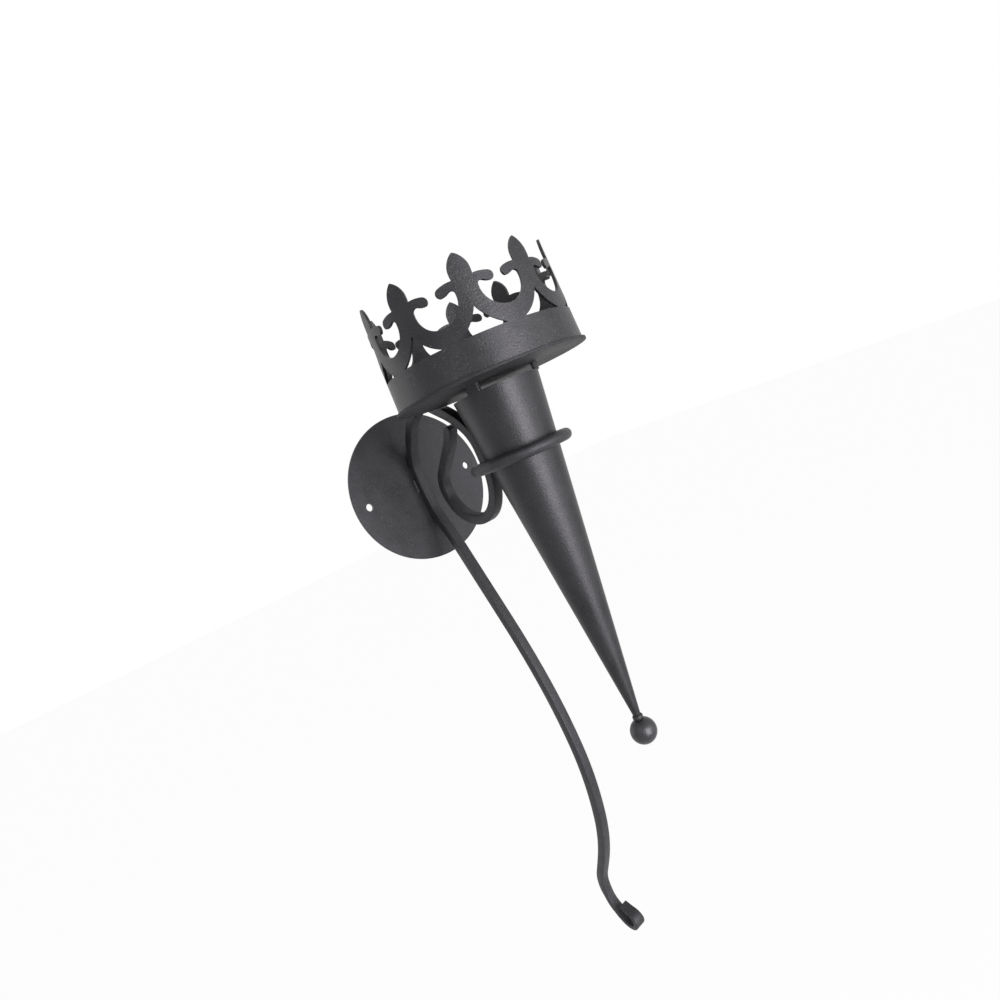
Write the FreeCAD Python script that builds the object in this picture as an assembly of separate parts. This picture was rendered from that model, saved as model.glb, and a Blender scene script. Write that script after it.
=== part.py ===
import FreeCAD, Part
import math
import os

# Wall sconce in the form of a medieval hand torch, in blackened iron.
# A round plate screws to the wall. A square bar is welded to its front,
# runs down to a small rolled foot and up and over into a scroll. A ring
# on the front of the scroll carries the torch: a hollow sheet cone with a
# ball under its tip, a disc on its rim and a pierced lily crown round the
# disc. The torch stands loose in the ring and lifts out.
#
# Millimetres. The origin is the centre of the plate's back face. The wall
# is the plane Y = 0, the room is toward -Y, and Z points up.

# Wall plate
PLATE_DIAMETER = 127.0
PLATE_THICKNESS = 3.0
PLATE_EDGE_ROUND = 0.5
SCREW_SPACING = 101.6
SCREW_HOLE_DIAMETER = 6.4

# Square bar of the arm
BAR_WIDTH = 8.0
BAR_DEPTH = 8.0
SEAT_ABOVE = 9.0
SEAT_BELOW = 8.0

# Torch cone, hollow sheet
TORCH_REACH = 155.0
CONE_RIM_RADIUS = 31.4
CONE_RIM_HEIGHT = 43.0
CONE_TIP_RADIUS = 2.8
CONE_LENGTH = 255.5
CONE_SHEET = 1.0

# Holder ring, round bar bent round the cone
RING_HEIGHT = -5.0
RING_BAR_DIAMETER = 8.0
RING_PLAY = 1.9
RING_SETBACK = 6.0
RING_FLAT = 12.0

# Disc and the three tabs that carry it over the cone's rim
DISC_OVERHANG = 2.0
DISC_THICKNESS = 2.0
DISC_EDGE_ROUND = 0.4
RIM_GAP = 5.5
TAB_COUNT = 3
TAB_WIDTH = 9.4
TAB_DEPTH = 4.0
TAB_OVERHANG = 0.8
TAB_START_ANGLE = -65.0

# Crown band, sheet sawn to lilies and rolled round
CROWN_BASE_RADIUS = 67.5
CROWN_TIP_RADIUS = 65.2
CROWN_SHEET = 2.0
CROWN_HEIGHT = 69.0
LILY_COUNT = 10
LILY_START_ANGLE = -31.5
LILY_PITCH_DRIFT = 2.9
LILY_WAIST_HALF_WIDTH = 6.6
CLEFT_CENTRE_HEIGHT = 45.5
LEG_WIDTH = 9.4
PIERCING_BASE_HEIGHT = 20.6
PIERCING_SPACING = 12.2
PIERCING_BOW = 2.0
LILY_HEAD_HALF_WIDTH = 7.0
LILY_NOTCH_HEIGHT = 54.3
LEAF_GAP = 4.0
LEAF_TIP_HEIGHT = 50.0
LEAF_DEPTH = 7.0

# Ball under the cone, on a short stub
BALL_DIAMETER = 20.0
NECK_GAP = 2.8
STUB_DIAMETER = 3.6
STUB_IN_CONE = 5.5
STUB_IN_BALL = 4.0
NECK_BEAD = 2.2

# Scroll of the arm above the plate, heights of the bar's middle line
DISC_CLEARANCE = 0.4
SHOULDER_SLOPE = 33.0
SCROLL_TOP_HEIGHT = 57.0
SCROLL_BOTTOM_HEIGHT = -42.5
CURL_HEIGHT = -12.0
CURL_BULGE = 3.5
TAIL_HEIGHT = 30.5
TAIL_SETBACK = 28.0

# Bow of the arm below the plate, distances from the wall
BOW_OUT = 62.2
BOW_HEIGHT = -250.0
BOW_LEAN = 16.5
HEEL_OUT = 10.0
HEEL_HEIGHT = -404.0
HEEL_LEAN = 34.0
HEEL_THICKNESS = 7.0

# Rolled foot at the bar's lower end
FOOT_WIDTH = 10.5
FOOT_SPREAD_HEIGHT = -412.0
FOOT_OUT = 33.0
FOOT_HEIGHT = -429.5
FOOT_ROLL_RADIUS = 6.0
FOOT_THICKNESS = 4.4
FOOT_NECK_THICKNESS = 3.2
FOOT_TIP_THICKNESS = 1.6

# Weld beads
BEAD_RADIUS = 2.2
BEAD_PITCH = 1.8
PLATE_BEAD_COUNT = 6
RING_BEAD_RADIUS = 2.2
RING_BEAD_COUNT = 3

# Sizes that follow from the ones above
BAR_HALF = BAR_DEPTH / 2.0
SEAT_OUT = PLATE_THICKNESS + BAR_HALF
CONE_TIP_HEIGHT = CONE_RIM_HEIGHT - CONE_LENGTH
CONE_SLOPE = (CONE_RIM_RADIUS - CONE_TIP_RADIUS) / CONE_LENGTH
RING_BAR_RADIUS = RING_BAR_DIAMETER / 2.0
CONE_RADIUS_IN_RING = CONE_TIP_RADIUS + CONE_SLOPE * (RING_HEIGHT - CONE_TIP_HEIGHT)
RING_RADIUS = CONE_RADIUS_IN_RING + RING_PLAY + RING_BAR_RADIUS
SCROLL_FACE_OUT = TORCH_REACH - RING_SETBACK - RING_RADIUS - RING_BAR_RADIUS
SCROLL_FRONT_OUT = SCROLL_FACE_OUT - BAR_HALF
TAIL_OUT = SCROLL_FRONT_OUT - TAIL_SETBACK
CURL_BACK = (SEAT_OUT + TAIL_OUT) / 2.0 - CURL_BULGE
DISC_DIAMETER = 2.0 * (CROWN_BASE_RADIUS + DISC_OVERHANG)
DISC_UNDERSIDE = CONE_RIM_HEIGHT + RIM_GAP
DISC_TOP = DISC_UNDERSIDE + DISC_THICKNESS
LILY_PITCH_HALF = math.pi * CROWN_BASE_RADIUS / LILY_COUNT
CLEFT_RADIUS = LILY_PITCH_HALF - LILY_WAIST_HALF_WIDTH
LEAF_REACH = LILY_PITCH_HALF - LEAF_GAP / 2.0
BALL_RADIUS = BALL_DIAMETER / 2.0
BALL_TOP = CONE_TIP_HEIGHT - NECK_GAP
BALL_HEIGHT = BALL_TOP - BALL_RADIUS
TORCH_AXIS = FreeCAD.Vector(0.0, -TORCH_REACH, 0.0)
UP = FreeCAD.Vector(0.0, 0.0, 1.0)


def on_torch(shape):
    """Move a shape built round the Z axis onto the torch's axis."""
    shape.translate(TORCH_AXIS)
    return shape


def turned(shape, angle):
    """A copy of a shape turned about the Z axis, 0 degrees facing the room."""
    copy = shape.copy()
    copy.rotate(FreeCAD.Vector(0.0, 0.0, 0.0), UP, angle)
    return copy


# Middle line of the arm: stations joined by pairs of tangent arcs

class Station:
    """A point on the bar's middle line, with its heading and half thickness."""

    def __init__(self, out, height, heading, half):
        self.point = FreeCAD.Vector(0.0, -out, height)
        self.heading = heading
        self.half = half

    def along(self):
        angle = math.radians(self.heading)
        return FreeCAD.Vector(0.0, math.cos(angle), math.sin(angle))

    def left(self):
        angle = math.radians(self.heading + 90.0)
        return FreeCAD.Vector(0.0, math.cos(angle), math.sin(angle))

    def side(self, sign):
        return self.point + self.left() * (sign * self.half)


def after_arc(start, end_point, half):
    """The station where the arc that leaves start on its heading reaches end_point."""
    step = end_point - start.point
    across = step.dot(start.left())
    ahead = step.dot(start.along())
    turn = 2.0 * math.degrees(math.atan2(across, ahead))
    return Station(-end_point.y, end_point.z, start.heading + turn, half)


def joint_station(first, last):
    """The point where two tangent arcs from first to last meet."""
    step = last.point - first.point
    both = first.along() + last.along()
    open_turn = 1.0 - first.along().dot(last.along())
    reach = step.dot(both)
    if open_turn < 1e-9:
        length = step.dot(step) / (2.0 * reach)
    else:
        root = math.sqrt(reach * reach + 2.0 * open_turn * step.dot(step))
        length = (root - reach) / (2.0 * open_turn)
    fore = first.point + first.along() * length
    aft = last.point - last.along() * length
    return after_arc(first, (fore + aft) * 0.5, (first.half + last.half) / 2.0)


def arc_middle(first, last):
    """The station halfway along the single arc from first to last."""
    turn = last.heading - first.heading
    chord = last.point - first.point
    half_way = (first.point + last.point) * 0.5
    sagitta = chord.Length / 2.0 * math.tan(math.radians(turn) / 4.0)
    right = FreeCAD.Vector(0.0, chord.z, -chord.y)
    right.normalize()
    middle = half_way + right * sagitta
    return Station(-middle.y, middle.z, first.heading + turn / 2.0, (first.half + last.half) / 2.0)


def curve_edge(start, middle, end):
    """A line through three points in line, or else an arc."""
    bulge = (middle - start).cross(end - start).Length
    if bulge < 1e-4 * (end - start).Length:
        return Part.LineSegment(start, end).toShape()
    return Part.Arc(start, middle, end).toShape()


def full_path(stations):
    """Stations with the meeting point of each arc pair put in between."""
    path = [stations[0]]
    for last in stations[1:]:
        joint = joint_station(path[-1], last)
        turn_left = last.heading - joint.heading
        last.heading = joint.heading + (turn_left + 180.0) % 360.0 - 180.0
        path.append(joint)
        path.append(last)
    return path


def bar_outline(path):
    """The closed side view of a bar whose middle line runs along the path."""
    edges = []
    for first, last in zip(path, path[1:]):
        middle = arc_middle(first, last)
        edges.append(curve_edge(first.side(1), middle.side(1), last.side(1)))
    end = path[-1]
    nose = end.point + end.along() * end.half
    edges.append(Part.Arc(end.side(1), nose, end.side(-1)).toShape())
    for first, last in reversed(list(zip(path, path[1:]))):
        middle = arc_middle(first, last)
        edges.append(curve_edge(last.side(-1), middle.side(-1), first.side(-1)))
    start = path[0]
    nose = start.point - start.along() * start.half
    edges.append(Part.Arc(start.side(-1), nose, start.side(1)).toShape())
    return Part.Wire(edges)


def scroll_stations():
    """From the curl's tail, round the loop, to the seat on the plate."""
    loop_depth = SCROLL_FRONT_OUT - SEAT_OUT
    slope = math.radians(SHOULDER_SLOPE)
    shoulder_out = TORCH_REACH - DISC_DIAMETER / 2.0 - BAR_HALF * math.sin(slope)
    shoulder_height = DISC_UNDERSIDE - DISC_CLEARANCE - BAR_HALF * math.cos(slope)
    back_height = SEAT_ABOVE + 0.625 * (SCROLL_TOP_HEIGHT - SEAT_ABOVE)
    return [
        Station(TAIL_OUT, TAIL_HEIGHT, -58.0, BAR_HALF),
        Station((CURL_BACK + TAIL_OUT) / 2.0, (CURL_HEIGHT + TAIL_HEIGHT) / 2.0 + 2.8, -36.0, BAR_HALF),
        Station(CURL_BACK, CURL_HEIGHT, -90.0, BAR_HALF),
        Station(SEAT_OUT + 0.67 * loop_depth, SCROLL_BOTTOM_HEIGHT, -180.0, BAR_HALF),
        Station(SCROLL_FRONT_OUT, RING_HEIGHT, -270.0, BAR_HALF),
        Station(SCROLL_FRONT_OUT, RING_HEIGHT + RING_FLAT, -270.0, BAR_HALF),
        Station(shoulder_out, shoulder_height, SHOULDER_SLOPE - 360.0, BAR_HALF),
        Station(SEAT_OUT + 0.5 * loop_depth, SCROLL_TOP_HEIGHT, -360.0, BAR_HALF),
        Station(SEAT_OUT + 0.152 * loop_depth, back_height, -408.0, BAR_HALF),
        Station(SEAT_OUT, SEAT_ABOVE, -450.0, BAR_HALF),
    ]


def drop_stations():
    """From the seat on the plate, down the bow, to the heel."""
    lean = math.tan(math.radians(BOW_LEAN))
    upper_height = -SEAT_BELOW - 0.22 * (-SEAT_BELOW - BOW_HEIGHT)
    upper_out = SEAT_OUT + lean * (-SEAT_BELOW - upper_height)
    lower_height = -SEAT_BELOW - 0.51 * (-SEAT_BELOW - BOW_HEIGHT)
    lower_out = upper_out + lean * (upper_height - lower_height)
    drop = BOW_HEIGHT - HEEL_HEIGHT
    return [
        Station(SEAT_OUT, -SEAT_BELOW, -450.0, BAR_HALF),
        Station(upper_out, upper_height, -450.0 - BOW_LEAN, BAR_HALF),
        Station(lower_out, lower_height, -450.0 - BOW_LEAN, BAR_HALF),
        Station(BOW_OUT, BOW_HEIGHT, -450.0, BAR_HALF),
        Station(HEEL_OUT + 0.79 * (BOW_OUT - HEEL_OUT), BOW_HEIGHT - 0.45 * drop, -433.0, BAR_HALF),
        Station(HEEL_OUT + 0.34 * (BOW_OUT - HEEL_OUT), BOW_HEIGHT - 0.765 * drop, -450.0 + HEEL_LEAN, BAR_HALF),
        Station(HEEL_OUT, HEEL_HEIGHT, -450.0, HEEL_THICKNESS / 2.0),
    ]


def foot_stations():
    """From the heel, thinned and rolled forward and up, to the foot's tip."""
    neck_half = FOOT_NECK_THICKNESS / 2.0
    roll_half = FOOT_THICKNESS / 2.0
    tip_half = FOOT_TIP_THICKNESS / 2.0
    neck_out = HEEL_OUT + 0.25 * (FOOT_OUT - HEEL_OUT)
    neck_height = HEEL_HEIGHT - 0.78 * (HEEL_HEIGHT - FOOT_HEIGHT)
    return [
        Station(neck_out, neck_height, -490.0, neck_half),
        Station(FOOT_OUT, FOOT_HEIGHT - FOOT_ROLL_RADIUS, -545.0, roll_half),
        Station(FOOT_OUT + FOOT_ROLL_RADIUS, FOOT_HEIGHT, -630.0, roll_half),
        Station(FOOT_OUT - 1.17 * FOOT_ROLL_RADIUS, FOOT_HEIGHT + 2.1 * FOOT_ROLL_RADIUS, -680.0, tip_half),
    ]


def width_envelope():
    """Front view of the arm: the bar's width, spread to the foot's width."""
    top = SCROLL_TOP_HEIGHT + BAR_DEPTH
    bottom = FOOT_HEIGHT - 2.0 * FOOT_ROLL_RADIUS - FOOT_THICKNESS
    bar = BAR_WIDTH / 2.0
    foot = FOOT_WIDTH / 2.0
    front = -2.0 * TORCH_REACH
    spread_from = FOOT_SPREAD_HEIGHT
    spread_to = FOOT_HEIGHT
    right = [(bar, top), (bar, spread_from), (foot, spread_to), (foot, bottom)]
    left = [(-x, z) for x, z in reversed(right)]
    corners = [FreeCAD.Vector(x, front, z) for x, z in right + left]
    outline = Part.makePolygon(corners + corners[:1])
    return Part.Face(outline).extrude(FreeCAD.Vector(0.0, 2.0 * -front, 0.0))


def scroll_arm():
    stations = scroll_stations() + drop_stations() + foot_stations()
    outline = bar_outline(full_path(stations))
    half = max(BAR_WIDTH, FOOT_WIDTH) / 2.0
    outline.translate(FreeCAD.Vector(-half, 0.0, 0.0))
    slab = Part.Face(outline).extrude(FreeCAD.Vector(2.0 * half, 0.0, 0.0))
    return slab.common(width_envelope())


def wall_plate():
    outward = FreeCAD.Vector(0.0, -1.0, 0.0)
    origin = FreeCAD.Vector(0.0, 0.0, 0.0)
    plate = Part.makeCylinder(PLATE_DIAMETER / 2.0, PLATE_THICKNESS, origin, outward)
    rim = [e for e in plate.Edges if len(e.Vertexes) == 1]
    plate = plate.makeFillet(PLATE_EDGE_ROUND, rim)
    for side in (-1.0, 1.0):
        centre = FreeCAD.Vector(side * SCREW_SPACING / 2.0, 0.0, 0.0)
        plate = plate.cut(Part.makeCylinder(SCREW_HOLE_DIAMETER / 2.0, PLATE_THICKNESS, centre, outward))
    return plate


def bead_row(centre, step, count, radius):
    """A weld bead: lumps in a row, run into each other."""
    first = centre - step * ((count - 1) / 2.0)
    bead = Part.makeSphere(radius, first)
    for index in range(1, count):
        bead = bead.fuse(Part.makeSphere(radius, first + step * index))
    return bead


def plate_weld(side, arm):
    """The bead in the corner between the plate and one side of the bar."""
    corner = FreeCAD.Vector(side * BAR_WIDTH / 2.0, -PLATE_THICKNESS, (SEAT_ABOVE - SEAT_BELOW) / 2.0)
    bead = bead_row(corner, UP * BEAD_PITCH, PLATE_BEAD_COUNT, BEAD_RADIUS)
    middle = FreeCAD.Vector(0.0, 0.0, corner.z)
    reach = 4.0 * TORCH_REACH
    room = Part.makeBox(reach, reach, reach, FreeCAD.Vector(0.0, -reach - PLATE_THICKNESS, middle.z - reach / 2.0))
    if side < 0:
        room = room.mirror(middle, FreeCAD.Vector(1.0, 0.0, 0.0))
    return bead.common(room).cut(arm)


def holder_ring():
    """A round bar bent to a ring: two half circles, joined by short straights."""
    front = Part.makeTorus(RING_RADIUS, RING_BAR_RADIUS, FreeCAD.Vector(0.0, 0.0, RING_HEIGHT))
    back = front.copy()
    back.translate(FreeCAD.Vector(0.0, RING_SETBACK, 0.0))
    size = 4.0 * RING_RADIUS
    front_room = Part.makeBox(size, size, size, FreeCAD.Vector(-size / 2.0, -size, -size / 2.0))
    back_room = Part.makeBox(size, size, size, FreeCAD.Vector(-size / 2.0, RING_SETBACK, -size / 2.0))
    ring = front.common(front_room).fuse(back.common(back_room))
    for side in (-1.0, 1.0):
        start = FreeCAD.Vector(side * RING_RADIUS, 0.0, RING_HEIGHT)
        straight = Part.makeCylinder(RING_BAR_RADIUS, RING_SETBACK, start, FreeCAD.Vector(0.0, 1.0, 0.0))
        ring = ring.fuse(straight)
    return on_torch(ring.removeSplitter())


def ring_weld(side, arm, ring):
    """The bead above or below the line where the ring meets the scroll."""
    height = RING_HEIGHT + side * RING_BAR_RADIUS * 0.8
    centre = FreeCAD.Vector(0.0, -SCROLL_FACE_OUT - RING_BEAD_RADIUS * 0.3, height)
    step = FreeCAD.Vector(RING_BEAD_RADIUS, 0.0, 0.0)
    bead = bead_row(centre, step, RING_BEAD_COUNT, RING_BEAD_RADIUS)
    rest = bead.cut(arm.fuse(ring))
    return max(rest.Solids, key=lambda solid: solid.Volume)


def cone_radius(height):
    return CONE_TIP_RADIUS + CONE_SLOPE * (height - CONE_TIP_HEIGHT)


def torch_cone():
    base = FreeCAD.Vector(0.0, 0.0, CONE_TIP_HEIGHT)
    outer = Part.makeCone(CONE_TIP_RADIUS, CONE_RIM_RADIUS, CONE_LENGTH, base)
    inner = Part.makeCone(CONE_TIP_RADIUS - CONE_SHEET, CONE_RIM_RADIUS - CONE_SHEET, CONE_LENGTH, base)
    return on_torch(outer.cut(inner))


def rim_tab(index):
    """A small block welded on the cone's rim that carries the disc."""
    outer = CONE_RIM_RADIUS + TAB_OVERHANG
    corner = FreeCAD.Vector(-TAB_WIDTH / 2.0, -outer, CONE_RIM_HEIGHT)
    tab = Part.makeBox(TAB_WIDTH, TAB_DEPTH, RIM_GAP, corner)
    upright = [e for e in tab.Edges if abs(e.Vertexes[0].Z - e.Vertexes[-1].Z) > RIM_GAP / 2.0]
    tab = tab.makeFillet(TAB_DEPTH / 4.0, upright)
    return on_torch(turned(tab, TAB_START_ANGLE + index * 360.0 / TAB_COUNT))


def crown_disc():
    base = FreeCAD.Vector(0.0, 0.0, DISC_UNDERSIDE)
    disc = Part.makeCylinder(DISC_DIAMETER / 2.0, DISC_THICKNESS, base)
    rim = [e for e in disc.Edges if len(e.Vertexes) == 1]
    return on_torch(disc.makeFillet(DISC_EDGE_ROUND, rim))


def crown_shell():
    """The plain rolled strip, before the lilies are sawn."""
    base = FreeCAD.Vector(0.0, 0.0, DISC_TOP)
    outer = Part.makeCone(CROWN_BASE_RADIUS, CROWN_TIP_RADIUS, CROWN_HEIGHT, base)
    inner = Part.makeCone(CROWN_BASE_RADIUS - CROWN_SHEET, CROWN_TIP_RADIUS - CROWN_SHEET, CROWN_HEIGHT, base)
    return outer.cut(inner)


def in_front(across, height):
    """A point of the saw pattern, its distance across measured round the crown's foot."""
    radius = CROWN_BASE_RADIUS + (CROWN_TIP_RADIUS - CROWN_BASE_RADIUS) * height / CROWN_HEIGHT
    chord = radius * math.sin(across / CROWN_BASE_RADIUS)
    return FreeCAD.Vector(chord, -CROWN_BASE_RADIUS - CROWN_SHEET, DISC_TOP + height)


def sawn(edges):
    """The cutter whose outline is the pattern, running in toward the axis."""
    depth = CROWN_BASE_RADIUS / 3.0
    return Part.Face(Part.Wire(edges)).extrude(FreeCAD.Vector(0.0, depth, 0.0))


def lily_side(pitch_half):
    """Right edge of one lily, top to bottom, as (start, middle, end) curves."""
    head = LILY_HEAD_HALF_WIDTH
    notch = LILY_NOTCH_HEIGHT
    top = CROWN_HEIGHT
    leaf = LEAF_REACH
    tip = LEAF_TIP_HEIGHT
    under = notch - LEAF_DEPTH
    stem = pitch_half - math.sqrt(CLEFT_RADIUS ** 2 - (under - CLEFT_CENTRE_HEIGHT) ** 2)
    shoulder = notch + 0.4 * (top - notch)
    reach = leaf - head
    return [
        ((0.5, top), (0.68 * head, top - 0.44 * (top - shoulder)), (head, shoulder)),
        ((head, shoulder), (head + 0.2, (shoulder + notch) / 2.0), (head, notch)),
        ((head, notch), (head + 0.45 * reach, notch - 0.2), (head + 0.8 * reach, notch - 1.2)),
        ((head + 0.8 * reach, notch - 1.2), (leaf, tip), (leaf - 1.6, under)),
        ((leaf - 1.6, under), (leaf - 4.8, under + 0.2), (leaf - 7.4, under + 1.2)),
        ((leaf - 7.4, under + 1.2), (stem + 2.2, under + 1.7), (stem, under)),
    ]


def cleft_cutter(pitch_half):
    """The open shape between two lilies, down to the round of the cleft."""
    side = lily_side(pitch_half)
    edges = []
    for mirror in (1.0, -1.0):
        for curve in side:
            points = [in_front(mirror * (across - pitch_half), height) for across, height in curve]
            edges.append(Part.Arc(points[0], points[1], points[2]).toShape())
    low_across = side[-1][2][0] - pitch_half
    low_height = side[-1][2][1]
    bottom = in_front(0.0, CLEFT_CENTRE_HEIGHT - CLEFT_RADIUS)
    edges.append(Part.Arc(in_front(low_across, low_height), bottom, in_front(-low_across, low_height)).toShape())
    top_across = side[0][0][0] - pitch_half
    over = CROWN_HEIGHT + CROWN_SHEET
    loop = [(top_across, CROWN_HEIGHT), (top_across, over), (-top_across, over), (-top_across, CROWN_HEIGHT)]
    for first, last in zip(loop, loop[1:]):
        edges.append(Part.LineSegment(in_front(*first), in_front(*last)).toShape())
    ordered = Part.sortEdges(edges)[0]
    return sawn(ordered)


def piercing_side(pitch_half, mirror):
    """One side of the hole under a lily: apex, middle and corner of its arc."""
    leg_arc = CLEFT_RADIUS + LEG_WIDTH
    apex = CLEFT_CENTRE_HEIGHT - math.sqrt(leg_arc ** 2 - pitch_half ** 2)
    corner = pitch_half - PIERCING_SPACING / 2.0
    across = corner
    down = apex - PIERCING_BASE_HEIGHT
    length = math.hypot(across, down)
    middle_across = across / 2.0 - PIERCING_BOW * down / length
    middle_height = apex - down / 2.0 - PIERCING_BOW * across / length
    return (
        in_front(0.0, apex),
        in_front(mirror * middle_across, middle_height),
        in_front(mirror * corner, PIERCING_BASE_HEIGHT),
    )


def piercing_cutter(pitch_half):
    """The three-sided hole under each lily, between its two legs."""
    top, right_middle, right = piercing_side(pitch_half, 1.0)
    top, left_middle, left = piercing_side(pitch_half, -1.0)
    edges = [
        Part.Arc(top, right_middle, right).toShape(),
        Part.LineSegment(right, left).toShape(),
        Part.Arc(left, left_middle, top).toShape(),
    ]
    return sawn(edges)


def lily_angle(index):
    """Where a lily stands: evenly marked out, with the drift of hand marking."""
    even = index * 360.0 / LILY_COUNT
    return LILY_START_ANGLE + even + LILY_PITCH_DRIFT * math.sin(math.radians(even))


def crown_band():
    cutters = []
    for index in range(LILY_COUNT):
        before = lily_angle(index - 1)
        lily = lily_angle(index)
        after = lily_angle(index + 1)
        cleft_half = math.radians((after - lily) / 2.0) * CROWN_BASE_RADIUS
        mean_half = math.radians((after - before) / 4.0) * CROWN_BASE_RADIUS
        cutters.append(turned(piercing_cutter(mean_half), lily))
        cutters.append(turned(cleft_cutter(cleft_half), (lily + after) / 2.0))
    return on_torch(crown_shell().cut(Part.makeCompound(cutters)))


def stub_shape():
    """The plug in the cone's tip, and the stub below it into the ball."""
    plug_top = CONE_TIP_HEIGHT + STUB_IN_CONE
    inner_tip = CONE_TIP_RADIUS - CONE_SHEET
    inner_top = cone_radius(plug_top) - CONE_SHEET
    plug = Part.makeCone(inner_tip, inner_top, STUB_IN_CONE, FreeCAD.Vector(0.0, 0.0, CONE_TIP_HEIGHT))
    low = BALL_TOP - STUB_IN_BALL
    stub = Part.makeCylinder(stub_radius(), CONE_TIP_HEIGHT - low, FreeCAD.Vector(0.0, 0.0, low))
    return plug.fuse(stub).removeSplitter()


def stub_radius():
    return min(STUB_DIAMETER / 2.0, CONE_TIP_RADIUS - CONE_SHEET)


def finial_stub():
    return on_torch(stub_shape())


def ball_shape():
    ball = Part.makeSphere(BALL_RADIUS, FreeCAD.Vector(0.0, 0.0, BALL_HEIGHT))
    bore_depth = STUB_IN_BALL + BALL_RADIUS
    base = FreeCAD.Vector(0.0, 0.0, BALL_TOP - STUB_IN_BALL)
    return ball.cut(Part.makeCylinder(stub_radius(), bore_depth, base))


def ball_finial():
    return on_torch(ball_shape())


def finial_weld():
    """The bead that fills the neck between the cone's tip and the ball."""
    middle = (CONE_TIP_HEIGHT + BALL_TOP) / 2.0
    bead = Part.makeTorus(stub_radius(), NECK_BEAD, FreeCAD.Vector(0.0, 0.0, middle))
    core_height = 2.0 * NECK_BEAD
    core_base = FreeCAD.Vector(0.0, 0.0, middle - core_height / 2.0)
    core = Part.makeCylinder(stub_radius(), core_height, core_base)
    cone_base = FreeCAD.Vector(0.0, 0.0, CONE_TIP_HEIGHT)
    cone = Part.makeCone(CONE_TIP_RADIUS, CONE_RIM_RADIUS, CONE_LENGTH, cone_base)
    ball = Part.makeSphere(BALL_RADIUS, FreeCAD.Vector(0.0, 0.0, BALL_HEIGHT))
    return on_torch(bead.cut(core).cut(cone).cut(ball))


def build():
    arm = scroll_arm()
    ring = holder_ring()
    pieces = {
        "wall_plate": wall_plate(),
        "scroll_arm": arm,
        "plate_weld_left": plate_weld(-1.0, arm),
        "plate_weld_right": plate_weld(1.0, arm),
        "holder_ring": ring,
        "ring_weld_upper": ring_weld(1.0, arm, ring),
        "ring_weld_lower": ring_weld(-1.0, arm, ring),
        "torch_cone": torch_cone(),
        "crown_disc": crown_disc(),
        "crown_band": crown_band(),
        "finial_stub": finial_stub(),
        "finial_weld": finial_weld(),
        "ball_finial": ball_finial(),
    }
    for index in range(TAB_COUNT):
        pieces["rim_tab_%d" % (index + 1)] = rim_tab(index)
    return pieces


os.makedirs("parts", exist_ok=True)
for name, shape in build().items():
    print(name, shape.isValid(), len(shape.Solids), round(shape.Volume, 1))
    shape.exportStep("parts/%s.step" % name)
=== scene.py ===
import logging
import math
from dataclasses import dataclass
from enum import Enum

import bpy
from mathutils import Matrix, Quaternion, Vector


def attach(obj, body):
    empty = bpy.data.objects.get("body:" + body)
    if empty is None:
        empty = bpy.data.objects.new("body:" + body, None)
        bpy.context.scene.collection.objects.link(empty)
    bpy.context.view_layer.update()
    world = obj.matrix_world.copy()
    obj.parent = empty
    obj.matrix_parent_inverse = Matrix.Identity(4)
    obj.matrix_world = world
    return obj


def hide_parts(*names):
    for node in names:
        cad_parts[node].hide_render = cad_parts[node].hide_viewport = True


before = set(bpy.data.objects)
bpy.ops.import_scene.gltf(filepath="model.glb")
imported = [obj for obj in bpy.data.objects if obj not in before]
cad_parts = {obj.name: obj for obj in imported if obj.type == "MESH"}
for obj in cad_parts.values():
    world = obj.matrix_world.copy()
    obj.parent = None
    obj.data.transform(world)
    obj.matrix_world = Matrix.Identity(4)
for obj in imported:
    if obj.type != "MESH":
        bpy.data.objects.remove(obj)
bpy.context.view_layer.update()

# Torch wall sconce in blackened iron: a scrolled square bar on a round plate
# holds a hollow cone with a pierced lily crown. Metres, origin at the centre
# of the plate's back face, wall in the plane Y = 0, Z up.

LOG = logging.getLogger("torch_sconce")
Triple = tuple[float, float, float]
WHITE = (1.0, 1.0, 1.0, 1.0)
# Points of a node's mesh that are nearer than this are one point.
SEAM_GAP = 1e-6


class Body(Enum):
    """The two bodies that a piece can move with."""

    BRACKET = "bracket"
    TORCH = "torch"


# Building shader trees


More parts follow.
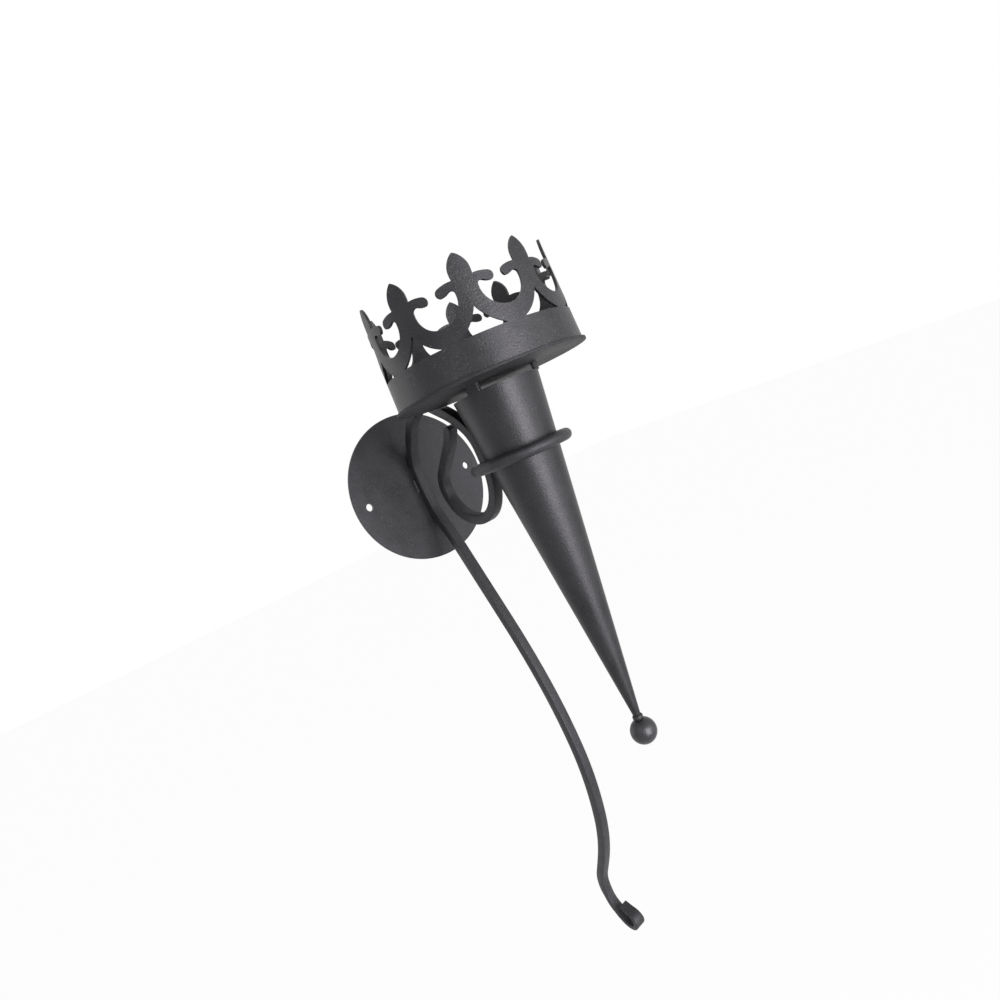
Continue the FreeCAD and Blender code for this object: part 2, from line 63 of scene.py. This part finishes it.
class Graph:
    """A node tree being built, with short calls to add and join nodes."""

    def __init__(self, tree: bpy.types.NodeTree) -> None:
        """Hold the tree.

        Args:
            tree: the material's, world's or group's node tree.
        """
        self.tree = tree

    @classmethod
    def fresh(cls, owner: bpy.types.ID) -> "Graph":
        """Start an empty tree in a material or world.

        Args:
            owner: the material or world.

        Returns:
            The graph of its cleared tree.
        """
        owner.use_nodes = True
        owner.node_tree.nodes.clear()
        return cls(owner.node_tree)

    def add(self, kind: str, **settings: object) -> bpy.types.Node:
        """Add a node.

        Args:
            kind: the node's type name.
            settings: properties to set on it.

        Returns:
            The new node.
        """
        node = self.tree.nodes.new(kind)
        for name, value in settings.items():
            setattr(node, name, value)
        return node

    def feed(self, socket: bpy.types.NodeSocket, value: object) -> None:
        """Give an input socket a number or join an output socket to it.

        Args:
            socket: the input socket.
            value: the number or the output socket.
        """
        if isinstance(value, (int, float)):
            socket.default_value = value
        else:
            self.tree.links.new(value, socket)

    def math(
        self, operation: str, first: object, second: object = 0.0
    ) -> bpy.types.NodeSocket:
        """Add a Math node.

        Args:
            operation: the node's operation.
            first: a number or a socket.
            second: a number or a socket.

        Returns:
            The result socket.
        """
        node = self.add("ShaderNodeMath", operation=operation)
        self.feed(node.inputs[0], first)
        self.feed(node.inputs[1], second)
        return node.outputs[0]

    def span(self, value: object, low: float, high: float) -> bpy.types.NodeSocket:
        """Stretch values from low to high over 0 to 1, and clamp the rest.

        Args:
            value: a number or a socket.
            low: the value that becomes 0.
            high: the value that becomes 1.

        Returns:
            The result socket.
        """
        node = self.add("ShaderNodeMapRange", interpolation_type="SMOOTHSTEP")
        self.feed(node.inputs["Value"], value)
        node.inputs["From Min"].default_value = low
        node.inputs["From Max"].default_value = high
        return node.outputs["Result"]

    def noise(
        self, place: object, scale: object, detail: float, rough: float = 0.5
    ) -> bpy.types.NodeSocket:
        """Add fractal noise.

        Args:
            place: the vector socket to read.
            scale: features per metre, a number or a socket.
            detail: how many finer layers it has.
            rough: how strong the finer layers are.

        Returns:
            The noise value socket.
        """
        node = self.add("ShaderNodeTexNoise")
        self.feed(node.inputs["Vector"], place)
        self.feed(node.inputs["Scale"], scale)
        node.inputs["Detail"].default_value = detail
        node.inputs["Roughness"].default_value = rough
        return node.outputs[0]

    def blend(self, factor: object, first: object, second: object) -> bpy.types.NodeSocket:
        """Mix two colours.

        Args:
            factor: share of the second colour.
            first: a colour or a socket.
            second: a colour or a socket.

        Returns:
            The mixed colour socket.
        """
        node = self.add("ShaderNodeMix", data_type="RGBA")
        self.feed(node.inputs[0], factor)
        for socket, value in ((node.inputs[6], first), (node.inputs[7], second)):
            if isinstance(value, tuple):
                socket.default_value = (*value, 1.0)
            else:
                self.feed(socket, value)
        return node.outputs[2]


class EffectKit:
    """The shader groups that several finishes share."""

    # Finer layers of each noise and how strong they are.
    PEEL_NOISE = (3.0, 0.55)
    FORGE_NOISE = (2.0, 0.5)
    TONE_NOISE = (6.0, 0.62)
    DUST_NOISE = (2.0, 0.6)
    MARK_NOISE = (1.0, 0.5)
    NOISE_MIDDLE = 0.5
    # The part of a noise's range that is stretched over 0 to 1.
    NOISE_SPAN = (0.36, 0.64)
    # Dust is this much finer than the peel.
    DUST_FINENESS = 1.7
    # Share of the broad tone in each result. The rest is fine grain.
    TONE_SHARE = 0.5
    SHEEN_SHARE = 0.55
    # From a speck's edge to its core, in cells of the pattern.
    SPECK_SPAN = (0.30, 0.10)
    # Scratches run along Y, drawn out and turned across the axes.
    SCRATCH_TURN = (0.5, 0.2, 0.7)
    SCRATCH_STRETCH = (1.0, 0.018, 1.0)
    SCRATCH_SPAN = (0.016, 0.004)
    # Patches of scratches per metre.
    PATCH_SCALE = 38.0

    def __init__(self) -> None:
        """Build both groups."""
        self.grain = self.coat_grain()
        self.marks = self.handling_marks()

    @staticmethod
    def new_group(name: str, inputs: list[str], outputs: list[str]) -> bpy.types.NodeTree:
        """Make an empty group.

        Args:
            name: the group's name.
            inputs: names of its float inputs.
            outputs: names of its float outputs.

        Returns:
            The node group.
        """
        group = bpy.data.node_groups.new(name, "ShaderNodeTree")
        for way, labels in (("INPUT", inputs), ("OUTPUT", outputs)):
            for label in labels:
                group.interface.new_socket(
                    name=label, in_out=way, socket_type="NodeSocketFloat"
                )
        return group

    @staticmethod
    def weigh(
        graph: Graph, broad: object, fine: object, share: float
    ) -> bpy.types.NodeSocket:
        """Add a broad and a fine pattern by weight.

        Args:
            graph: the tree it goes in.
            broad: the broad pattern's socket.
            fine: the fine pattern's socket.
            share: the broad pattern's share.

        Returns:
            The sum's socket.
        """
        first = graph.math("MULTIPLY", broad, share)
        second = graph.math("MULTIPLY", fine, 1.0 - share)
        return graph.math("ADD", first, second)

    def relief(self, graph: Graph, noise: object, height: object) -> bpy.types.NodeSocket:
        """Turn a noise into bumps and hollows of a given height.

        Args:
            graph: the tree it goes in.
            noise: the noise's socket.
            height: the socket of its full height in metres.

        Returns:
            The height socket.
        """
        centred = graph.math("SUBTRACT", noise, self.NOISE_MIDDLE)
        return graph.math("MULTIPLY", centred, height)

    def coat_grain(self) -> bpy.types.NodeTree:
        """The baked coat's fine peel over the hammered, uneven iron.

        Returns:
            A group with Height in metres, Tone and Sheen from 0 to 1.
        """
        scales = ["Peel Scale", "Peel Height", "Forge Scale", "Forge Height", "Tone Scale"]
        group = self.new_group("coat_grain", scales, ["Height", "Tone", "Sheen"])
        graph = Graph(group)
        given = graph.add("NodeGroupInput").outputs
        result = graph.add("NodeGroupOutput").inputs
        place = graph.add("ShaderNodeTexCoord").outputs["Object"]
        peel = graph.noise(place, given["Peel Scale"], *self.PEEL_NOISE)
        forge = graph.noise(place, given["Forge Scale"], *self.FORGE_NOISE)
        tone = graph.noise(place, given["Tone Scale"], *self.TONE_NOISE)
        fine = self.relief(graph, peel, given["Peel Height"])
        broad = self.relief(graph, forge, given["Forge Height"])
        graph.feed(result["Height"], graph.math("ADD", fine, broad))
        dust_scale = graph.math("MULTIPLY", given["Peel Scale"], self.DUST_FINENESS)
        dust = graph.noise(place, dust_scale, *self.DUST_NOISE)
        shade = self.weigh(graph, tone, dust, self.TONE_SHARE)
        graph.feed(result["Tone"], graph.span(shade, *self.NOISE_SPAN))
        gleam = self.weigh(graph, tone, peel, self.SHEEN_SHARE)
        graph.feed(result["Sheen"], graph.span(gleam, *self.NOISE_SPAN))
        return group

    def handling_marks(self) -> bpy.types.NodeTree:
        """Pale specks in the coat and fine scratches across it.

        Returns:
            A group with the masks Specks and Scratches.
        """
        inputs = ["Speck Scale", "Speck Share", "Scratch Scale", "Scratch Share"]
        group = self.new_group("handling_marks", inputs, ["Specks", "Scratches"])
        graph = Graph(group)
        given = graph.add("NodeGroupInput").outputs
        result = graph.add("NodeGroupOutput").inputs
        place = graph.add("ShaderNodeTexCoord").outputs["Object"]
        cells = graph.add("ShaderNodeTexVoronoi")
        graph.feed(cells.inputs["Vector"], place)
        graph.feed(cells.inputs["Scale"], given["Speck Scale"])
        chance = graph.add("ShaderNodeSeparateColor")
        graph.feed(chance.inputs[0], cells.outputs["Color"])
        chosen = graph.math("LESS_THAN", chance.outputs[0], given["Speck Share"])
        core = graph.span(cells.outputs["Distance"], *self.SPECK_SPAN)
        graph.feed(result["Specks"], graph.math("MULTIPLY", chosen, core))
        drawn = graph.add("ShaderNodeMapping")
        graph.feed(drawn.inputs["Vector"], place)
        drawn.inputs["Rotation"].default_value = self.SCRATCH_TURN
        drawn.inputs["Scale"].default_value = self.SCRATCH_STRETCH
        strands = graph.noise(drawn.outputs["Vector"], given["Scratch Scale"], *self.MARK_NOISE)
        centred = graph.math("SUBTRACT", strands, self.NOISE_MIDDLE)
        line = graph.span(graph.math("ABSOLUTE", centred), *self.SCRATCH_SPAN)
        patches = graph.noise(place, self.PATCH_SCALE, *self.MARK_NOISE)
        patch = graph.math("LESS_THAN", patches, given["Scratch Share"])
        graph.feed(result["Scratches"], graph.math("MULTIPLY", line, patch))
        return group


@dataclass(frozen=True)
class IronFinish:
    """Iron under a thin, baked, charcoal coat, as one kind of piece wears it.

    Scales are features per metre, heights are metres, and gloss and matt are
    the lowest and highest roughness.
    """

    name: str
    dark: Triple = (0.0125, 0.0122, 0.0137)
    pale: Triple = (0.0242, 0.0237, 0.0266)
    marked: Triple = (0.075, 0.074, 0.072)
    gloss: float = 0.38
    matt: float = 0.52
    specular: float = 0.27
    reflection: Triple = (0.97, 0.94, 1.0)
    peel_scale: float = 860.0
    peel_height: float = 0.00015
    forge_scale: float = 70.0
    forge_height: float = 0.0003
    tone_scale: float = 34.0
    speck_scale: float = 620.0
    speck_share: float = 0.012
    scratch_scale: float = 420.0
    scratch_share: float = 0.0
    scratch_strength: float = 0.45

    def material(self, kit: EffectKit) -> bpy.types.Material:
        """Build the node material.

        Args:
            kit: the shared shader groups.

        Returns:
            The finished material.
        """
        made = bpy.data.materials.new(self.name)
        graph = Graph.fresh(made)
        grain = self.group_node(graph, kit.grain, {
            "Peel Scale": self.peel_scale,
            "Peel Height": self.peel_height,
            "Forge Scale": self.forge_scale,
            "Forge Height": self.forge_height,
            "Tone Scale": self.tone_scale,
        })
        marks = self.group_node(graph, kit.marks, {
            "Speck Scale": self.speck_scale,
            "Speck Share": self.speck_share,
            "Scratch Scale": self.scratch_scale,
            "Scratch Share": self.scratch_share,
        })
        coated = graph.blend(grain.outputs["Tone"], self.dark, self.pale)
        scuffs = graph.math("MULTIPLY", marks.outputs["Scratches"], self.scratch_strength)
        worn = graph.math("MAXIMUM", marks.outputs["Specks"], scuffs)
        shader = graph.add("ShaderNodeBsdfPrincipled")
        graph.feed(shader.inputs["Base Color"], graph.blend(worn, coated, self.marked))
        spread = graph.math("MULTIPLY", grain.outputs["Sheen"], self.matt - self.gloss)
        graph.feed(shader.inputs["Roughness"], graph.math("ADD", spread, self.gloss))
        shader.inputs["Specular IOR Level"].default_value = self.specular
        shader.inputs["Specular Tint"].default_value = (*self.reflection, 1.0)
        relief = graph.add("ShaderNodeBump")
        relief.inputs["Strength"].default_value = 1.0
        relief.inputs["Distance"].default_value = 1.0
        graph.feed(relief.inputs["Height"], grain.outputs["Height"])
        graph.feed(shader.inputs["Normal"], relief.outputs["Normal"])
        surface = graph.add("ShaderNodeOutputMaterial")
        graph.feed(surface.inputs["Surface"], shader.outputs["BSDF"])
        return made

    @staticmethod
    def group_node(
        graph: Graph, group: bpy.types.NodeTree, values: dict[str, float]
    ) -> bpy.types.Node:
        """Place a shared group in the material.

        Args:
            graph: the material's graph.
            group: the shared group.
            values: numbers for its inputs.

        Returns:
            The group node.
        """
        node = graph.add("ShaderNodeGroup", node_tree=group)
        for name, value in values.items():
            node.inputs[name].default_value = value
        return node


# Working on meshes


def clear_selection() -> None:
    """Leave no object selected."""
    for other in bpy.context.selected_objects:
        other.select_set(False)


def pick(piece: bpy.types.Object) -> None:
    """Make one object the only selected and the active one.

    Args:
        piece: the object.
    """
    clear_selection()
    piece.select_set(True)
    bpy.context.view_layer.objects.active = piece


def apply_all(piece: bpy.types.Object) -> None:
    """Apply every modifier of a piece, first to last.

    Args:
        piece: the piece.
    """
    pick(piece)
    for modifier in list(piece.modifiers):
        bpy.ops.object.modifier_apply(modifier=modifier.name)


def closed_copy(node: str, name: str) -> bpy.types.Object:
    """Copy a node's mesh and join its loose triangles.

    Args:
        node: the node to copy.
        name: the new piece's name.

    Returns:
        The new piece, with closed seams and normals outward.
    """
    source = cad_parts[node]
    piece = bpy.data.objects.new(name, source.data.copy())
    piece.data.transform(source.matrix_world)
    piece.data.materials.clear()
    bpy.context.scene.collection.objects.link(piece)
    pick(piece)
    bpy.ops.mesh.customdata_custom_splitnormals_clear()
    bpy.ops.object.mode_set(mode="EDIT")
    bpy.ops.mesh.select_all(action="SELECT")
    bpy.ops.mesh.remove_doubles(threshold=SEAM_GAP)
    bpy.ops.mesh.normals_make_consistent(inside=False)
    bpy.ops.object.mode_set(mode="OBJECT")
    return piece


def coat(node: str, material: bpy.types.Material) -> None:
    """Give a node that is kept its finish, and log it.

    Args:
        node: the node's name.
        material: its finish.
    """
    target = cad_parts[node]
    if not target.material_slots:
        target.data.materials.append(material)
    for slot in target.material_slots:
        slot.material = material
    LOG.info("coated %s with %s", node, material.name)


def stand_in(piece: bpy.types.Object, node: str, body: Body) -> None:
    """Put a piece in a node's place.

    Args:
        piece: the finished piece.
        node: the node it replaces.
        body: the body it rides on.
    """
    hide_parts(node)
    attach(piece, body.value)
    LOG.info("built %s for %s, %d faces", piece.name, node, len(piece.data.polygons))


@dataclass
class WeldBead:
    """A bead laid by hand: lumps run into each other, with a rippled skin."""

    node: str
    body: Body
    voxel: float = 0.00024
    melting: int = 14
    melting_step: float = 0.5
    ripple_size: float = 0.0014
    ripple_height: float = 0.0003
    ripple_middle: float = 0.35

    def build(self, material: bpy.types.Material) -> None:
        """Model the bead and dress it.

        Args:
            material: the weld finish.
        """
        piece = closed_copy(self.node, self.node + "_bead")
        skin = piece.modifiers.new("skin", "REMESH")
        skin.mode = "VOXEL"
        skin.voxel_size = self.voxel
        skin.use_smooth_shade = True
        melt = piece.modifiers.new("melt", "SMOOTH")
        melt.factor = self.melting_step
        melt.iterations = self.melting
        lumps = bpy.data.textures.new(self.node + "_lumps", "CLOUDS")
        lumps.noise_scale = self.ripple_size
        ripple = piece.modifiers.new("ripple", "DISPLACE")
        ripple.texture = lumps
        ripple.texture_coords = "LOCAL"
        ripple.strength = self.ripple_height
        ripple.mid_level = self.ripple_middle
        apply_all(piece)
        piece.data.materials.append(material)
        stand_in(piece, self.node, self.body)


@dataclass
class WallPlate:
    """The round plate on the wall, with its two welds to the bar."""

    finish: IronFinish = IronFinish(
        "plate_coat",
        dark=(0.0134, 0.0131, 0.0147),
        pale=(0.0290, 0.0284, 0.0319),
        forge_height=0.0002,
        scratch_share=0.40,
    )

    def build(self, kit: EffectKit, weld: bpy.types.Material) -> None:
        """Dress the plate and model the welds beside the bar.

        Args:
            kit: the shared shader groups.
            weld: the weld finish.
        """
        coat("wall_plate", self.finish.material(kit))
        for side in ("left", "right"):
            WeldBead("plate_weld_" + side, Body.BRACKET).build(weld)


@dataclass
class ScrollArm:
    """The square bar of the scroll, its long edges knocked soft by the hammer.

    Angles are degrees. Faces flatter to each other than flat_angle are joined,
    edges sharper than edge_angle are rounded, and faces that meet flatter than
    shade_angle are shaded as one.
    """

    edge_width: float = 0.0007
    edge_steps: int = 3
    flat_angle: float = 0.4
    edge_angle: float = 50.0
    shade_angle: float = 35.0
    finish: IronFinish = IronFinish(
        "bar_coat",
        dark=(0.0140, 0.0138, 0.0154),
        pale=(0.0312, 0.0306, 0.0343),
        matt=0.55,
        forge_scale=95.0,
        forge_height=0.0007,
    )

    def build(self, kit: EffectKit) -> None:
        """Model the bar with soft edges and dress it.

        Args:
            kit: the shared shader groups.
        """
        piece = closed_copy("scroll_arm", "scroll_arm_soft")
        pick(piece)
        bpy.ops.object.mode_set(mode="EDIT")
        bpy.ops.mesh.select_all(action="SELECT")
        bpy.ops.mesh.dissolve_limited(angle_limit=math.radians(self.flat_angle))
        bpy.ops.object.mode_set(mode="OBJECT")
        edge = piece.modifiers.new("edge", "BEVEL")
        edge.width = self.edge_width
        edge.segments = self.edge_steps
        edge.limit_method = "ANGLE"
        edge.angle_limit = math.radians(self.edge_angle)
        apply_all(piece)
        bpy.ops.object.shade_smooth_by_angle(angle=math.radians(self.shade_angle))
        piece.data.materials.append(self.finish.material(kit))
        stand_in(piece, "scroll_arm", Body.BRACKET)


@dataclass
class HolderRing:
    """The round-bar ring that the torch stands in, welded to the scroll."""

    finish: IronFinish = IronFinish("ring_coat", forge_scale=110.0, forge_height=0.0005)

    def build(self, kit: EffectKit, weld: bpy.types.Material) -> None:
        """Dress the ring and model its two welds.

        Args:
            kit: the shared shader groups.
            weld: the weld finish.
        """
        coat("holder_ring", self.finish.material(kit))
        for level in ("upper", "lower"):
            WeldBead("ring_weld_" + level, Body.BRACKET).build(weld)


@dataclass
class TorchCone:
    """The hollow cone, its rim tabs and the ball under its tip."""

    tabs: int = 3
    cone_finish: IronFinish = IronFinish(
        "cone_coat",
        dark=(0.0078, 0.0076, 0.0086),
        pale=(0.0172, 0.0168, 0.0189),
        gloss=0.34,
        matt=0.44,
        specular=0.30,
        forge_scale=38.0,
        forge_height=0.0002,
    )
    ball_finish: IronFinish = IronFinish(
        "ball_coat", gloss=0.30, matt=0.42, specular=0.42, forge_scale=120.0
    )
    tab_finish: IronFinish = IronFinish("tab_coat", speck_share=0.0)

    def build(self, kit: EffectKit, weld: bpy.types.Material) -> None:
        """Dress the cone, tabs and ball, and model the neck's weld.

        Args:
            kit: the shared shader groups.
            weld: the weld finish.
        """
        coat("torch_cone", self.cone_finish.material(kit))
        coat("ball_finial", self.ball_finish.material(kit))
        coat("finial_stub", weld)
        tab = self.tab_finish.material(kit)
        for number in range(self.tabs):
            coat("rim_tab_%d" % (number + 1), tab)
        WeldBead("finial_weld", Body.TORCH).build(weld)


@dataclass
class LilyCrown:
    """The disc and the pierced band of lilies that stands on it."""

    disc_finish: IronFinish = IronFinish(
        "disc_coat",
        gloss=0.5,
        matt=0.66,
        specular=0.2,
        speck_share=0.02,
        scratch_share=0.47,
    )
    band_finish: IronFinish = IronFinish(
        "band_coat",
        dark=(0.0078, 0.0076, 0.0086),
        pale=(0.0187, 0.0183, 0.0206),
        gloss=0.34,
        matt=0.44,
        specular=0.30,
        forge_height=0.0003,
        speck_share=0.02,
        scratch_share=0.48,
    )

    def build(self, kit: EffectKit) -> None:
        """Dress the disc and the band.

        Args:
            kit: the shared shader groups.
        """
        coat("crown_disc", self.disc_finish.material(kit))
        coat("crown_band", self.band_finish.material(kit))


@dataclass(frozen=True)
class Lamp:
    """A soft box."""

    name: str
    place: Triple
    watts: float
    width: float
    height: float

    def build(self, target: Vector) -> None:
        """Hang the lamp and aim it.

        Args:
            target: the point that it faces.
        """
        light = bpy.data.lights.new(self.name, "AREA")
        light.energy = self.watts
        light.shape = "RECTANGLE"
        light.size = self.width
        light.size_y = self.height
        holder = bpy.data.objects.new(self.name, light)
        holder.location = self.place
        sight = target - Vector(self.place)
        holder.rotation_euler = sight.to_track_quat("-Z", "Y").to_euler()
        holder.visible_camera = False
        bpy.context.scene.collection.objects.link(holder)


@dataclass
class Studio:
    """Pale floor, white surround, soft boxes and the camera.

    Lens and sensor are millimetres, and shift is shares of the picture. The
    camera looks from eye, and turn is its rotation vector in radians, for a
    camera with X right, Y down and Z forward.
    """

    floor_height: float = -1.0
    floor_side: float = 24.0
    floor_shade: float = 0.9
    floor_glow: float = 0.97
    surround: float = 0.12
    lens: float = 25.6407
    sensor: float = 36.0
    shift: tuple[float, float] = (-0.04988, 0.00705)
    near_clip: float = 0.01
    eye: Triple = (-0.302585, -0.546887, 0.009365)
    turn: Triple = (1.4546858870241814, -0.8589648270320872, 0.19099818758267376)
    lamp_target: Triple = (0.0, -0.1, -0.1)
    lamps: tuple[Lamp, ...] = (
        Lamp("front_lamp", (-0.14, -1.82, -0.22), 56.0, 1.1, 1.4),
        Lamp("right_lamp", (0.95, -1.6, -0.1), 10.0, 1.0, 1.4),
        Lamp("side_lamp", (-1.5, -0.9, 0.9), 4.0, 1.2, 1.2),
        Lamp("wall_bounce_lamp", (-1.0, 1.1, 0.1), 3.0, 1.0, 1.0),
    )

    def seen(self, graph: Graph, share: float) -> bpy.types.NodeSocket:
        """A mask of the rays that look at the background.

        Args:
            graph: the tree it goes in.
            share: its value where they do.

        Returns:
            The mask socket.
        """
        path = graph.add("ShaderNodeLightPath").outputs
        direct = graph.math("MAXIMUM", path["Is Camera Ray"], path["Is Glossy Ray"])
        every = graph.math("MAXIMUM", direct, path["Is Transmission Ray"])
        return graph.math("MULTIPLY", every, share)

    def show(
        self,
        graph: Graph,
        lit: bpy.types.Node,
        view: bpy.types.Node,
        share: float,
        output: str,
    ) -> None:
        """Light with one shader, and show another to the rays that look.

        Args:
            graph: the tree it goes in.
            lit: the shader that lights.
            view: the shader that is looked at.
            share: how much of the second those rays see.
            output: the output node's type name.
        """
        mixed = graph.add("ShaderNodeMixShader")
        graph.feed(mixed.inputs[0], self.seen(graph, share))
        graph.feed(mixed.inputs[1], lit.outputs[0])
        graph.feed(mixed.inputs[2], view.outputs[0])
        graph.feed(graph.add(output).inputs["Surface"], mixed.outputs[0])

    def build_surround(self) -> None:
        """White where it is looked at, softer where it lights."""
        world = bpy.data.worlds.new("studio_surround")
        graph = Graph.fresh(world)
        light = graph.add("ShaderNodeBackground")
        light.inputs["Color"].default_value = WHITE
        light.inputs["Strength"].default_value = self.surround
        view = graph.add("ShaderNodeBackground")
        view.inputs["Color"].default_value = WHITE
        view.inputs["Strength"].default_value = 1.0
        self.show(graph, light, view, 1.0, "ShaderNodeOutputWorld")
        bpy.context.scene.world = world

    def build_floor(self) -> None:
        """A pale floor below the sconce, which keeps a soft shadow."""
        clear_selection()
        bpy.ops.mesh.primitive_plane_add(
            size=self.floor_side, location=(0.0, 0.0, self.floor_height)
        )
        floor = bpy.context.active_object
        floor.name = "studio_floor"
        bpy.ops.object.transform_apply(location=True)
        made = bpy.data.materials.new("floor_paper")
        graph = Graph.fresh(made)
        paper = graph.add("ShaderNodeBsdfDiffuse")
        paper.inputs["Color"].default_value = (*(self.floor_shade,) * 3, 1.0)
        glow = graph.add("ShaderNodeEmission")
        self.show(graph, paper, glow, self.floor_glow, "ShaderNodeOutputMaterial")
        floor.data.materials.append(made)

    def build_camera(self) -> None:
        """Stand the camera where the photograph was taken."""
        data = bpy.data.cameras.new("photo_camera")
        data.lens = self.lens
        data.sensor_width = self.sensor
        data.shift_x, data.shift_y = self.shift
        data.clip_start = self.near_clip
        camera = bpy.data.objects.new("photo_camera", data)
        turn = Vector(self.turn)
        rows = Quaternion(turn.normalized(), turn.length).to_matrix()
        axes = Matrix((rows[0], -rows[1], -rows[2])).transposed()
        camera.matrix_world = Matrix.Translation(self.eye) @ axes.to_4x4()
        bpy.context.scene.collection.objects.link(camera)
        bpy.context.scene.camera = camera

    def build(self) -> None:
        """Set up the whole studio."""
        bpy.context.scene.view_settings.view_transform = "Standard"
        self.build_surround()
        self.build_floor()
        for lamp in self.lamps:
            lamp.build(Vector(self.lamp_target))
        self.build_camera()


WELD_FINISH = IronFinish(
    "weld_coat",
    dark=(0.015, 0.015, 0.0155),
    pale=(0.030, 0.0298, 0.0295),
    forge_scale=420.0,
    forge_height=0.00015,
)


def main() -> None:
    """Build every sub-assembly in order, then the studio."""
    logging.basicConfig(level=logging.INFO, format="%(name)s: %(message)s")
    kit = EffectKit()
    weld = WELD_FINISH.material(kit)
    WallPlate().build(kit, weld)
    ScrollArm().build(kit)
    HolderRing().build(kit, weld)
    TorchCone().build(kit, weld)
    LilyCrown().build(kit)
    Studio().build()
    LOG.info("scene built")


if __name__ == "__main__":
    main()
